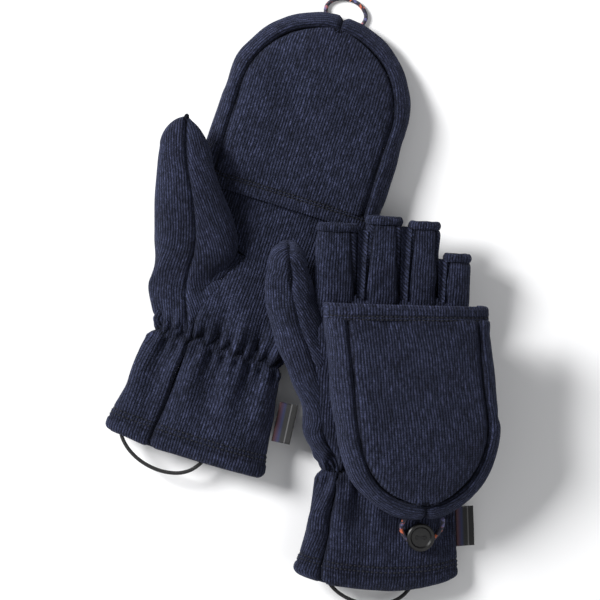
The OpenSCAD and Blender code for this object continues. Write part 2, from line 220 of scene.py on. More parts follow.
def fleece(name, gain=1.0):
    """Heathered sweater knit: columns of V stitches, from each piece's own cloth coordinates."""
    t = Tree(name)
    s, y, seed = t.attribute("knit")
    here = t.vector(s, y, seed)
    # the dark attribute: the weight of painted shade in seams, creases, puckers and stitched rows
    wear_and_painted_shade = t.add("ShaderNodeAttribute", attribute_name="dark").outputs["Fac"]
    # the columns wander a little, as knitting does
    sway = t.times(t.minus(t.noise(here, 0.05, 1.0), 0.5), 2.2)
    jitter = t.times(t.minus(t.noise(here, 0.8, 1.0), 0.5), 0.5)
    col = t.plus(t.math("DIVIDE", t.plus(s, t.plus(sway, jitter)), COLUMN), 1000.0)
    u = t.math("ABSOLUTE", t.minus(t.math("FRACT", col), 0.5))
    furrow = t.math("POWER", t.times(u, 2.0), 2.1)
    slant = t.plus(t.math("DIVIDE", y, COURSE), t.times(u, 1.3))
    loop = t.plus(0.5, t.times(t.math("SINE", t.times(slant, math.tau)), 0.5))
    stitch = t.minus(t.times(loop, 0.35), furrow)
    # the yarn's own colour changes by column, by fibre and in small flecks
    each = t.noise(t.vector(t.times(t.math("FLOOR", col), 7.3), t.times(y, 0.16), seed), 1.0, 2.0)
    fibres = t.noise(t.vector(s, t.times(y, 0.40), seed), 1.3, 3.0, 0.6)
    fleck = t.noise(t.vector(s, t.times(y, 0.5), t.plus(seed, 7.0)), 3.0, 2.0, 0.6)
    tone = t.plus(t.times(fibres, 0.42), t.plus(t.times(fleck, 0.36), t.times(each, 0.22)))
    stops = ((0.37, (0.0045, 0.0055, 0.011)), (0.47, (0.019, 0.023, 0.046)),
             (0.55, (0.044, 0.052, 0.104)), (0.66, (0.115, 0.130, 0.255)))
    colour = t.ramp(tone, [(at, tuple(c * gain for c in rgb)) for at, rgb in stops])
    # darker in broad random patches; painted shade in the furrows and between the loops, lighter on the loop crests,
    # and painted shade in the seams and creases
    shade = t.plus(0.42, t.times(t.noise(here, 0.06, 2.0), 0.62))
    # painted shade in the furrows between columns and in the troughs between loops
    dim = t.times(t.times(shade, t.minus(1.0, t.times(furrow, 0.93))), t.plus(0.85, t.times(loop, 0.3)))
    # painted shade in the seams, creases and stitched rows, from the dark attribute
    dim = t.times(dim, t.minus(1.0, t.times(wear_and_painted_shade, 0.75)))
    columns = t.bump(stitch, 0.00055, 0.9)
    t.surface(Base_Color=t.mix(1.0, colour, t.vector(dim, dim, dim), "MULTIPLY"), Roughness=0.94,
              Specular_IOR_Level=0.15, Sheen_Weight=0.10, Sheen_Roughness=0.45, Sheen_Tint=(0.42, 0.48, 0.82, 1),
              Normal=t.bump(t.noise(here, 3.4, 3.0, 0.7), 0.00022, 0.6, columns))
    return t.mat


def cord_material(name, base, fleck=None):
    """Braided round elastic; flecks are the coloured yarns in the braid."""
    t = Tree(name)
    obj = t.add("ShaderNodeTexCoord").outputs["Object"]
    wave = t.add("ShaderNodeTexVoronoi")
    t.links.new(obj, wave.inputs["Vector"])
    wave.inputs["Scale"].default_value = 1500
    fuzz = t.noise(obj, 900, 2.0)
    colour = t.mix(fuzz, tuple(c * 0.5 for c in base), tuple(c * 1.7 for c in base))
    if fleck:
        spot = t.ramp(t.noise(obj, 420, 1.0), ((0.545, (0, 0, 0)), (0.60, (1, 1, 1))))
        which = t.ramp(t.noise(obj, 190, 0.0), ((0.45, fleck), (0.60, (0.10, 0.10, 0.24))))
        colour = t.mix(spot, colour, which)
    t.surface(Base_Color=colour, Roughness=0.72, Sheen_Weight=0.15,
              Normal=t.bump(wave.outputs["Distance"], 0.0002, 0.7))
    return t.mat


def thread_material(name, base):
    t = Tree(name)
    obj = t.add("ShaderNodeTexCoord").outputs["Object"]
    twist = t.noise(obj, 2400, 1.0)
    t.surface(Base_Color=t.mix(twist, tuple(c * 0.5 for c in base), tuple(c * 1.6 for c in base)), Roughness=0.8,
              Normal=t.bump(twist, 0.00012, 0.6))
    return t.mat


def button_material():
    t = Tree("button plastic")
    obj = t.add("ShaderNodeTexCoord").outputs["Object"]
    wear_and_painted_shade = t.noise(obj, 260, 3.0)
    t.surface(Base_Color=t.mix(wear_and_painted_shade, (0.0035, 0.0035, 0.0037), (0.009, 0.009, 0.0095)),
              Roughness=t.plus(0.30, t.times(wear_and_painted_shade, 0.22)), Specular_IOR_Level=0.32,
              Normal=t.bump(t.noise(obj, 700, 2.0), 0.00005, 0.25))
    return t.mat


def label_material():
    """Plain woven ribbon: dark, with a coloured band beside the seam and no lettering."""
    t = Tree("label weave")
    x, y, _ = t.attribute("knit")
    warp = t.math("SINE", t.times(x, 21.0))
    weft = t.math("SINE", t.times(y, 15.0))
    weave = t.times(warp, weft)
    band = t.ramp(t.math("DIVIDE", x, 10.0), ((0.0, (0.060, 0.010, 0.014)), (0.14, (0.032, 0.010, 0.050)),
                                               (0.26, (0.008, 0.016, 0.080)), (0.40, (0.0045, 0.0045, 0.005))))
    stripe = t.math("GREATER_THAN", t.math("ABSOLUTE", t.minus(x, 6.4)), 0.35)
    line = t.mix(stripe, (0.12, 0.12, 0.125), band)
    t.surface(Base_Color=t.mix(t.times(t.plus(weave, 1.0), 0.12), line, (0.03, 0.03, 0.032)), Roughness=0.62,
              Sheen_Weight=0.2, Normal=t.bump(weave, 0.00006, 0.6))
    return t.mat


FLEECE = fleece("navy fleece")
# the same fleece at 0.55 of its brightness: painted shade for the elastic band inside the wrist
FLEECE_SHADED_INSIDE = fleece("navy fleece inside", 0.55)
ELASTIC = cord_material("black elastic", (0.005, 0.005, 0.0055))
CAP_CORD = cord_material("cap cord", (0.016, 0.014, 0.030), (0.55, 0.12, 0.05))
THREAD = thread_material("black thread", (0.006, 0.006, 0.007))
SEAM_THREAD = thread_material("navy seam thread", (0.0045, 0.0055, 0.011))
LABEL = label_material()

# -------------------- cords, which come first


def smooth_line(points, n):
    """n points on a smooth curve through the given ones, evenly spaced."""
    p = np.asarray(points, float)
    q = np.vstack([2 * p[0] - p[1], p, 2 * p[-1] - p[-2]])
    out = []
    for i in range(1, len(q) - 2):
        for t in np.linspace(0, 1, 12, endpoint=False):
            a, b, c, d = q[i - 1], q[i], q[i + 1], q[i + 2]
            out.append(0.5 * (2 * b + (c - a) * t + (2 * a - 5 * b + 4 * c - d) * t * t
                              + (3 * b - a - 3 * c + d) * t ** 3))
    return even(np.array(out + [p[-1]]), n)[0]


def make_cord(name, points, diameter, material, body, node):
    line = smooth_line(points, 34)
    curve = bpy.data.curves.new(name, "CURVE")
    curve.dimensions, curve.bevel_depth, curve.bevel_resolution = "3D", diameter / 2000, 5
    curve.use_fill_caps = True
    spline = curve.splines.new("POLY")
    spline.points.add(len(line) - 1)
    for point, co in zip(spline.points, line):
        point.co = (*co, 1)
    spline.use_smooth = True
    obj = bpy.data.objects.new(name, curve)
    bpy.context.collection.objects.link(obj)
    curve.materials.append(material)
    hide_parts(node)
    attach(obj, body)


FREE_LOOP = [(-11, -2, 1.7), (-12, 3, 1.6), (-10.5, 6.5, 1.6), (-7, 9.3, 1.6), (-2.5, 10.8, 1.6), (2.5, 10.8, 1.6),
             (7, 9.3, 1.6), (10.5, 6.5, 1.6), (12, 3, 1.6), (11, -2, 1.7)]
HOOKED_LOOP = [(-9.5, 12.2, -1.8), (-11, 9, 0.2), (-11.5, 6, 2.6), (-10.5, 2.5, 4.2), (-7.5, -1.5, 4.2),
               (-3.5, -4, 4.2), (0, -4.8, 4.2), (3.5, -4, 4.2), (7.5, -1.5, 4.2), (10.8, 2.5, 4.2), (12.2, 6, 2.6),
               (12.2, 9, 0.2), (11.5, 12, -1.8)]
HANG = [(-34, -2.5), (-31, -7), (-26, -11.5), (-19, -15.2), (-11, -17.3), (-3, -17.6), (5, -16), (11, -12.6),
        (15, -8), (18, -2.5)]
for k, side in enumerate(SIDES):
    loop = np.array(FREE_LOOP) + (CAP_CX[k], CAP_TIP, 0) if k == 0 else np.array(HOOKED_LOOP) + (*BUTTON_AT, 0)
    make_cord(f"{side}_cap_loop_cord", to_row(k, loop), LOOP_D, CAP_CORD, f"{side}_cap", f"{side}_cap_loop")
    hang = to_row(k, [(x + HANG_X[k], HANG_Y + y, HANG_Z[k]) for x, y in HANG])
    make_cord(f"{side}_hang_loop_cord", hang, HANG_D, ELASTIC, f"{side}_hang_loop", f"{side}_hang_loop")

# -------------------- cloth helpers


def ease(t):
    t = np.clip(t, 0, 1)
    return t * t * (3 - 2 * t)


def row_at(rows, y):
    """The CAD's table lookup: the row at y, eased between its neighbours."""
    i = 0
    while i < len(rows) - 2 and y > rows[i + 1][0]:
        i += 1
    a, b = np.array(rows[i], float), np.array(rows[i + 1], float)
    return a + (b - a) * ease((y - a[0]) / (b[0] - a[0]))


def power(v, p):
    return np.sign(v) * np.abs(v) ** p


def body_rows(k):
    c = HAND_CX[k]
    return [(-CUFF_L, -CUFF_W / 2 - 0.5, CUFF_W / 2 - 2, CUFF_Z, CUFF_Z + CUFF_T),
            (-CUFF_L / 2, -CUFF_W / 2 + 4, CUFF_W / 2 - 4.5, CUFF_Z, CUFF_Z + CUFF_T - 1),
            (0, -WRIST_W / 2, WRIST_W / 2, 3.5, HAND_T - 1 + 3.5),
            (PALM * 0.25, -WRIST_W / 2 - 10.5, WRIST_W / 2 + c * 0.5, 0, HAND_T),
            (PALM * 0.55, (c - (HAND_W + WRIST_W) / 2 - 9) / 2, c + HAND_W / 2 - 2, 0, HAND_T),
            (KNUCKLE - 8, c - HAND_W / 2, c + HAND_W / 2, 0, HAND_T),
            (KNUCKLE - 3, c - HAND_W / 2, c + HAND_W / 2, INNER_Z, HAND_T - 0.3),
            (PALM, c - HAND_W / 2, c + HAND_W / 2, INNER_Z, STALL_Z[1] + 0.8)]


PALM_SEAM = [(0, 108), (PALM * 0.4, 96), (PALM * 0.54, 93), (PALM * 0.62, 140), (PALM * 0.7, 178)]
BACK_SEAM = [(0, 232), (PALM * 0.2, 222), (PALM * 0.48, 205), (PALM * 0.7, 182)]


def section(x0, x1, z0, z1, inset, angles, y, n=BOXY):
    half = (x1 - x0) / 2 - inset
    b0 = (z1 - z0 + 0.6) / 2
    b = b0 - inset
    a = np.radians(angles)
    x = (x0 + x1) / 2 + half * power(np.cos(a), 2 / n)
    z = np.maximum(z0 + inset, z1 - b0 + b * power(np.sin(a), 2 / n))
    return xyz(x, y, z)


def normals(P, wrap=False):
    du = np.roll(P, -1, 1) - np.roll(P, 1, 1) if wrap else np.gradient(P, axis=1)
    dv = np.gradient(P, axis=0)
    n = np.cross(dv, du)
    return n / np.maximum(np.linalg.norm(n, axis=-1, keepdims=True), 1e-9)


def waves(x, y, seed, size, n=7):
    """A seeded sum of long waves, about -1 to 1."""
    r = np.random.default_rng(seed)
    out = 0
    for _ in range(n):
        a, f, p = r.uniform(0, 2 * math.pi), 2 * math.pi / (size * r.uniform(0.7, 1.6)), r.uniform(0, 6.28)
        out = out + np.sin(f * (x * math.cos(a) + y * math.sin(a)) + p)
    return out / n ** 0.5 / 1.5


def edge_drop(P, sides, depth, reach):
    """How far the cloth dips into the seams along the named grid edges, 0 at their distance."""
    drop = np.zeros(P.shape[:2])
    for s in sides:
        edge = {"l": P[:, :1], "r": P[:, -1:], "b": P[:1], "t": P[-1:]}[s]
        d = np.linalg.norm(P - edge, axis=-1)
        drop = np.maximum(drop, np.exp(-(d / reach) ** 2))
    return drop * depth


def darker(K, w):
    """Adds the weight, 0 to 1, of the painted shade in creases, seams and stitched rows, that the cloth material
    darkens by.
    """
    return np.concatenate([K[..., :3], np.clip(np.broadcast_to(w, K.shape[:2]), 0, 1)[..., None]], -1)


def grid_ids(m, n, base=0):
    return base + np.arange(m * n).reshape(m, n)


def quads(ids, rows=False, cols=False):
    """The faces of a grid of vertices, closed round its rows or its columns if asked."""
    if cols:
        ids = np.hstack([ids, ids[:, :1]])
    if rows:
        ids = np.vstack([ids, ids[:1]])
    return np.stack([ids[:-1, :-1], ids[:-1, 1:], ids[1:, 1:], ids[1:, :-1]], -1).reshape(-1, 4)


def mesh_object(name, verts, faces, knit, material, body, nodes, mirror=False):
    if mirror:
        faces = [f[::-1] for f in faces]
    verts = np.array(verts, float)
    verts[:, 2] = np.maximum(verts[:, 2], 0.00003)      # nothing sinks below the table
    mesh = bpy.data.meshes.new(name)
    mesh.from_pydata([tuple(v) for v in verts], [], [tuple(int(i) for i in f) for f in faces])
    mesh.validate()
    mesh.update()
    knit = np.asarray(knit, np.float32)
    layer = mesh.attributes.new("knit", "FLOAT_VECTOR", "POINT")
    layer.data.foreach_set("vector", np.ascontiguousarray(knit[:, :3]).reshape(-1))
    # dark: the weight of the painted shade in creases, seams and stitched rows
    layer = mesh.attributes.new("dark", "FLOAT", "POINT")
    layer.data.foreach_set("value", knit[:, 3] if knit.shape[1] > 3 else np.zeros(len(knit), np.float32))
    mesh.polygons.foreach_set("use_smooth", [True] * len(mesh.polygons))
    mesh.materials.append(material)
    obj = bpy.data.objects.new(name, mesh)
    bpy.context.collection.objects.link(obj)
    if nodes:
        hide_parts(*nodes)
    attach(obj, body)
    return obj


def shell(P, K, thick, wrap, flip):
    """A cloth of the given thickness under the grid of its outer face, with rounded edges.
    Gives vertices, faces and cloth coordinates."""
    ny, nx = P.shape[:2]
    N = normals(P, wrap) * (-1 if flip else 1)
    Q = P - N * thick
    verts = [P.reshape(-1, 3), Q.reshape(-1, 3)]
    knit = [K.reshape(-1, K.shape[-1]), K.reshape(-1, K.shape[-1])]
    ids = grid_ids(ny, nx)
    outer = quads(ids, cols=wrap)
    inner = outer[:, ::-1] + ny * nx
    faces = np.vstack([outer, inner] if flip else [outer[:, ::-1], inner[:, ::-1]]).tolist()
    if wrap:
        loops = [[(0, x) for x in range(nx)], [(ny - 1, x) for x in range(nx)][::-1]]
    else:
        loops = [[(0, x) for x in range(nx)] + [(y, nx - 1) for y in range(1, ny)]
                 + [(ny - 1, x) for x in range(nx - 2, -1, -1)] + [(y, 0) for y in range(ny - 2, 0, -1)]]
    base = 2 * ny * nx
    for loop in loops:
        jj, ii = np.array(loop).T
        pj, pi = np.clip(jj, 1, ny - 2), (ii if wrap else np.clip(ii, 1, nx - 2))
        out = P[jj, ii] - P[pj, pi]
        out = out / np.maximum(np.linalg.norm(out, axis=1, keepdims=True), 1e-9)
        verts.append((P[jj, ii] + Q[jj, ii]) / 2 + out * thick / 2)
        knit.append(K[jj, ii])
        n = len(loop)
        a = ids[jj, ii]
        for s in range(n):
            e = (s + 1) % n
            f1 = [a[e], a[s], base + s, base + e]
            f2 = [base + e, base + s, a[s] + ny * nx, a[e] + ny * nx]
            faces += [f if flip else f[::-1] for f in (f1, f2)]
        base += n
    return np.vstack(verts), faces, np.vstack(knit)


def make_cloth(name, k, P, K, thick, node, body=None, wrap=False, flip=False, folded=False, material=None):
    v, f, kn = shell(P, K, thick, wrap, flip)
    if folded:
        v = fold(k, v)
    mesh_object(name, to_row(k, v), f, kn, material or FLEECE, body or f"{SIDES[k]}_hand", [node],
                mirror=(k == 1))


SIM_UNIT, SIM_FRAMES = 0.01, 14     # metres are too coarse for the solver here, so 1 unit is 10 cm


def puff(grids, pins, pressure, grow, cap, signs=None):
    """Blows up and wrinkles a list of grids (mm) together with a cloth simulation. pins are weights 0 to 1;
    cap is how far, about, a point may move."""
    verts, faces, weight, base = [], [], [], 0
    for P, W, sign in zip(grids, pins, signs or [1] * len(grids)):
        quad = quads(grid_ids(*P.shape[:2], base))
        faces += (quad[:, ::-1] if sign > 0 else quad).tolist()
        verts.append(P.reshape(-1, 3) * SIM_UNIT)
        weight.append(W.reshape(-1))
        base += W.size
    verts, weight = np.vstack(verts), np.concatenate(weight)
    mesh = bpy.data.meshes.new("sim")
    mesh.from_pydata(verts.tolist(), [], faces)
    obj = bpy.data.objects.new("sim", mesh)
    bpy.context.collection.objects.link(obj)
    group = obj.vertex_groups.new(name="pin")
    for value in np.unique(np.round(weight, 1)):
        group.add([int(i) for i in np.nonzero(np.round(weight, 1) == value)[0]], float(value), "REPLACE")
    cloth = obj.modifiers.new("cloth", "CLOTH")
    s = cloth.settings
    s.quality, s.mass, s.air_damping = 5, 0.3, 3
    s.tension_stiffness = s.compression_stiffness = 25
    s.shear_stiffness, s.bending_stiffness = 12, 3.0
    s.use_pressure, s.uniform_pressure_force = True, pressure
    s.effector_weights.gravity = 0
    s.vertex_group_mass, s.pin_stiffness = "pin", 1
    s.shrink_min = s.shrink_max = -grow
    cloth.collision_settings.use_collision = False
    cloth.point_cache.frame_start, cloth.point_cache.frame_end = 1, SIM_FRAMES
    for f in range(1, SIM_FRAMES + 1):
        bpy.context.scene.frame_set(f)
    dg = bpy.context.evaluated_depsgraph_get()
    flat = np.empty(len(verts) * 3, np.float32)
    obj.evaluated_get(dg).data.vertices.foreach_get("co", flat)
    moved = (flat.reshape(-1, 3).astype(float) - verts) / SIM_UNIT
    size = np.linalg.norm(moved, axis=1, keepdims=True)
    moved = moved * (np.tanh(size / cap) * cap / np.maximum(size, 1e-9))
    moved[~np.isfinite(moved)] = 0
    bpy.context.scene.frame_set(1)
    bpy.data.objects.remove(obj)
    bpy.data.meshes.remove(mesh)
    out, at = [], 0
    for P in grids:
        n = P.shape[0] * P.shape[1]
        step = moved[at:at + n].reshape(P.shape).copy()     # smoothed, so that the seams stay clean
        for _ in range(4):
            step[1:-1, 1:-1] = (2 * step[1:-1, 1:-1] + step[:-2, 1:-1] + step[2:, 1:-1] + step[1:-1, :-2]
                                + step[1:-1, 2:]) / 6
        out.append(P + step)
        at += n
    return out


def pin_edges(P, width=4):
    """Pinned at every edge, loosening over a few rows."""
    ny, nx = P.shape[:2]
    j = np.minimum(np.arange(ny), np.arange(ny)[::-1])[:, None]
    i = np.minimum(np.arange(nx), np.arange(nx)[::-1])[None]
    return np.clip(1 - np.minimum(i, j) / width, 0, 1) * np.ones((ny, nx))


# -------------------- hand and cuff
BODY_Y = np.concatenate([[-66.0, -65.85, -65.4, -64.7, -63.8, -62.8], np.arange(-61.6, 99, 1.3), [100.0]])


def edge_roll(y):
    """How far the cuff's end turns in over its last millimetres."""
    t = min(1, max(0, (-CUFF_L + 4.2 - y) / 4.2))
    return 2.9 * (1 - math.sqrt(1 - t * t * 0.98))


def hand_panel(k, a0, a1, nx, y_end, seed):
    """A panel of the hand between two seam angles, with the cuff's turned hem and the wrist's gathers."""
    rows = body_rows(k)
    P, K = [], []
    for y in BODY_Y[BODY_Y <= y_end]:
        r = row_at(rows, y)
        lo, hi = a0(y), a1(y)
        fine = section(*r[1:5], edge_roll(y), np.linspace(lo, hi, 220), y)
        line, run = even(fine, nx)
        mid = 90.0 if hi < 200 else 270.0
        upto = section(*r[1:5], edge_roll(y), np.linspace(lo, mid, 220), y)
        s = (run - run_along(upto)[-1]) * (1 if hi > 200 else -1)
        if not (lo <= 90 <= hi or lo <= 270 <= hi):
            s = run * -1.0 - 60
        P.append(line)
        K.append(xyz(s + upto[-1, 0], y, float(seed)))
    return np.array(P), np.array(K)


def wrist_pucker(s, y, seed):
    """Puckers over the elastic: a deep zigzag groove and folds that fade away from it. Also gives the painted shade
    in the groove, along the pucker lines and in the fold valleys.
    """
    r = np.random.default_rng(seed)
    ph = r.uniform(0, 6.28, 4)
    w = s * 2 * math.pi / 8.6 + 1.5 * np.sin(s / 13 + ph[0]) + ph[1]
    zig = np.arcsin(np.clip(np.sin(w), -1, 1)) / 1.57
    y0 = 2.3 * zig + 1.2 * np.sin(s / 14 + ph[2])
    near = np.exp(-((y - y0) / 1.7) ** 2)
    groove = -2.6 * near - 1.6 * np.exp(-(y / 9.0) ** 2)
    puffs = 1.9 * (np.cos(w + 0.8) * np.exp(-np.abs(y - 5) / 6) - np.cos(w - 0.8) * np.exp(-np.abs(y + 6) / 7))
    folds = 2.2 * np.cos(w * 0.36 + ph[3] + 0.02 * y) * np.where(y < 0, np.exp(-(np.abs(y + 18) / 19) ** 2),
                                                                np.exp(-(np.abs(y - 10) / 10) ** 2))
    # painted shade along the pucker lines and in the fold valleys
    lines = np.clip(-np.cos(w + 0.8), 0, 1) * np.exp(-np.abs(y - 5) / 5) \
        + np.clip(np.cos(w - 0.8), 0, 1) * np.exp(-np.abs(y + 6) / 6)
    valley = np.clip(-folds / 2.2, 0, 1) ** 2
    return groove + puffs + folds, near * 0.9 + 0.35 * lines + 0.30 * valley


def bowed(k, P):
    t = np.clip(-P[..., 1] / CUFF_L, 0, None)
    out = P.copy()
    out[..., 1] += BOW[k] * CUFF_W * t * t * ((P[..., 0] / CUFF_W * 2) ** 2 - 0.35)
    return out


def lookup(table):
    return lambda y: row_at(table, y)[1]


def centre_seam_x(k, y):
    """Where the thumb's centre seam runs on over the hand."""
    return (-29, -33)[k] + (y - THUMB_BASE) * -0.35


THUMB_BASE, THUMB_REACH = 26, (94, 104)
CUFF_ROWS = ((-52.6, -55.0, -57.4), (-52.6, -55.4, -58.0))      # the stitched rows and the hem's fold
PANEL_SEAMS = (("palm_panel", "l", "r"), ("back_panel", "lr", ""), ("thumb_side_panel", "r", "l"))
palm_seam, back_seam = lookup(PALM_SEAM), lookup(BACK_SEAM)
hand_grids, sewn = {}, {0: [], 1: []}
for k, side in enumerate(SIDES):
    hand_grids[k] = [
        hand_panel(k, lambda y: 0.4, lambda y: palm_seam(y) - 0.4, 60, 100, 11 + 20 * k),
        hand_panel(k, lambda y: back_seam(y) + 0.4, lambda y: 359.6, 60, 100, 13 + 20 * k),
        hand_panel(k, lambda y: palm_seam(y) + 0.4, lambda y: back_seam(y) - 0.4, 34, 63, 17 + 20 * k)]

for k, side in enumerate(SIDES):
    grids = [bowed(k, P) for P, K in hand_grids[k]]
    pins = [np.maximum(pin_edges(P), np.exp(-(K[..., 1] / 6) ** 2)) for P, K in hand_grids[k]]
    soft = puff(grids, pins, (1.2, 1.6)[k], 0.015, 1.6)
    for (_, K), P, (name, kept, faded) in zip(hand_grids[k], soft, PANEL_SEAMS):
        N = normals(P)
        s, y = K[..., 0], K[..., 1]
        d, dark = wrist_pucker(s, y, 5 + 3 * k)
        d += 0.95 * waves(s, y, int(K[0, 0, 2]), 36)
        # the stitched rows and the hem's fold sink in, with painted shade in their grooves
        for at in CUFF_ROWS[k]:
            d -= 0.9 * np.exp(-((y - at) / 0.85) ** 2)
            dark = dark + 0.75 * np.exp(-((y - at) / 0.75) ** 2)
        d += 0.7 * np.clip((-51 - y) / 3, 0, 1) * np.clip((y + CUFF_L) / 3, 0, 1)
        # the seam fades where the thumb leaves the palm
        near = 1 - 0.85 * ease((y - 34) / 8) * (1 - ease((y - 74) / 8))
        d -= np.maximum(edge_drop(P, kept, 1.9, 1.6), edge_drop(P, faded, 1.9, 1.6) * near)
        # painted shade along the seams
        dark = dark + np.maximum(edge_drop(P, kept, 0.9, 1.0), edge_drop(P, faded, 0.9, 1.0) * near)
        if name == "thumb_side_panel":
            # the thumb's centre seam runs on down to the wrist
            x0 = centre_seam_x(0, y)
            centre = np.exp(-((P[..., 0] - x0) / 1.5) ** 2) * (y < 40) * (y > 1) * (P[..., 2] > HAND_T / 2)
            d -= 1.6 * centre
            # painted shade in the centre seam's groove
            dark = dark + 0.8 * centre
            # and the panel lines the thumb's own cloth
            d -= (2.2 - 1.5 * ease((y - 34) / 8)) * ease((y - 3) / 6)
        if name == "back_panel":
            d = np.where(y > 10, np.minimum(d, 0.0), d)     # clear of the folded cap
        d = d - 2.6 * ease((y - 90) / 9)        # the hand dips under the finger stalls
        P = P + N * d[..., None]
        P[..., 2] = np.maximum(P[..., 2], TABLE)
        for at in CUFF_ROWS[k][:2]:
            j = int(np.argmin(np.abs(BODY_Y - at)))
            sewn[k].append((P[j] + N[j] * 0.12, N[j]))
        make_cloth(f"{side}_{name}_cloth", k, P, darker(K, dark), FLEECE_T, f"{side}_{name}")

    # the turned-up layer inside the cuff, and the elastic inside the wrist
    rows = body_rows(k)

    def inner_ring(ys, inset, wave=0.0):
        P, K = [], []
        for y in ys:
            r = row_at(rows, y)
            inward = inset + (0.5 * min(1, max(0, (y + 64.5) / 3)) if wave == 0 else 0)
            line, run = even(section(*r[1:5], inward, np.linspace(0, 360, 361), y), 121)
            line, run = line[:-1], run[:-1]
            line[:, 1] += wave * np.sin(run * 0.6)
            P.append(line)
            K.append(xyz(run, y, 41.0 + k))
        return bowed(k, np.array(P)), np.array(K)

    P, K = inner_ring(np.concatenate([[-65.2, -64.6, -63.6], np.arange(-62.0, -53.5, 2)]), WALL + 0.4)
    make_cloth(f"{side}_cuff_hem_cloth", k, P, K, 1.6, f"{side}_cuff_hem", wrap=True)
    P, K = inner_ring(np.linspace(-4, 4, 7), WALL + 0.9, 0.7)
    make_cloth(f"{side}_wrist_elastic_band", k, P, K, 0.9, f"{side}_wrist_elastic", wrap=True, material=FLEECE_SHADED_INSIDE)

# -------------------- thumbs
THUMB_CLOSE, THUMB_TIP_X, THUMB_TIP_CURVE = (0.78, 0.86), (-56.6, -63.3), ((1.6, 0.72), (2, 0.5))
THUMB_WAY = [
    [(0, -29, 22, HAND_T - 9, 8.5), (0.3, -31, 26, HAND_T + 1, 10), (0.5, -38, 23.5, HAND_T + 8, 11),
     (0.72, -47.5, 17.5, HAND_T + 13, 10), (0.83, -52, 14.5, HAND_T + 13, 9.5),
     (0.93, -57, 10.5, HAND_T + 12, 8), (1, -60.5, 3, HAND_T + 11, 3)],
    [(0, -32, 17, HAND_T - 9, 8.5), (0.26, -42, 17.5, HAND_T - 6.5, 9), (0.48, -52, 16, HAND_T - 6.5, 9.5),
     (0.7, -59.5, 14.5, HAND_T - 7, 9.5), (0.82, -62, 12.5, HAND_T - 7.5, 9.5),
     (0.93, -63.5, 9, HAND_T - 8, 8), (1, -63.5, 3, HAND_T - 8, 3)]]


def hermite(table, s):
    """Smooth interpolation through the table's rows, flatter than the CAD's steps."""
    t = np.array([r[0] for r in table], float)
    v = np.array([r[1:] for r in table], float)
    m = np.gradient(v, t, axis=0)
    i = int(np.clip(np.searchsorted(t, s, "right") - 1, 0, len(t) - 2))
    h = t[i + 1] - t[i]
    u = (s - t[i]) / h
    return ((2 * u ** 3 - 3 * u ** 2 + 1) * v[i] + (u ** 3 - 2 * u ** 2 + u) * h * m[i]
            + (-2 * u ** 3 + 3 * u ** 2) * v[i + 1] + (u ** 3 - u ** 2) * h * m[i + 1])


def hand_angle(r, x):
    """The section angle at which the palm side of the hand has this x."""
    u = (x - (r[1] + r[2]) / 2) / ((r[2] - r[1]) / 2)
    return math.degrees(math.acos(np.sign(u) * min(1, abs(u)) ** (BOXY / 2)))


def thumb_half(k, inner, ribs, seed):
    """One side of the thumb. Below the crotch it becomes the hand's own surface, down to the wrist."""
    rows = body_rows(k)
    close = THUMB_CLOSE[k]
    ss = np.concatenate([np.linspace(-0.245, 0, 16, endpoint=False), 1 - (1 - np.linspace(0, 1, 66)) ** 1.45])
    P, K = [], []
    for s in ss:
        c, w, z, t = hermite(THUMB_WAY[k], min(max(s, 0.0), close))
        if s > close:
            q = (s - close) / (1 - close)
            e = max(0.0, 1 - q ** THUMB_TIP_CURVE[k][0]) ** THUMB_TIP_CURVE[k][1]
            c, w, t = c + q * (THUMB_TIP_X[k] - c), max(0.3, w * e), max(0.3, t * e)
        y = THUMB_BASE + THUMB_REACH[k] * s
        a = np.linspace(-91, 91, 160) if inner else np.linspace(89, 271, 160)
        fine = xyz(c + w * power(np.cos(np.radians(a)), 2 / 2.15), y, z + t * power(np.sin(np.radians(a)), 2 / 2.15))
        if s < 0.36:
            r = row_at(rows, y)
            centre = hand_angle(r, centre_seam_x(k, y) + 1)
            ends = (palm_seam(y) - 4, centre + 0.6) if inner else (centre - 0.6, back_seam(y) + 4)
            base = section(*r[1:5], -0.25, np.linspace(*ends, 160), y)
            m = ease((s + 0.16) / 0.40)
            if inner:
                # its lower edge follows the palm's seam and tucks under the thumb at the crotch
                low = ease((-a + 91) / 182)
                m = m + (ease((s - 0.06) / 0.30) - m) * low
                base[:, 2] -= (1.2 * ease((s + 0.1) / 0.2) + 2.6 * ease((s - 0.10) / 0.12)) * low ** 2
            m = np.reshape(m, (-1, 1))
            fine = base * (1 - m) + fine * m
        line, run = even(fine, 44)
        P.append(line)
        u = run - (run[-1] if inner else 0)
        cos, sin = math.cos(rad(ribs)), math.sin(rad(ribs))
        K.append(xyz(u * cos + y * sin, y * cos - u * sin, float(seed)))
    return np.array(P), np.array(K)


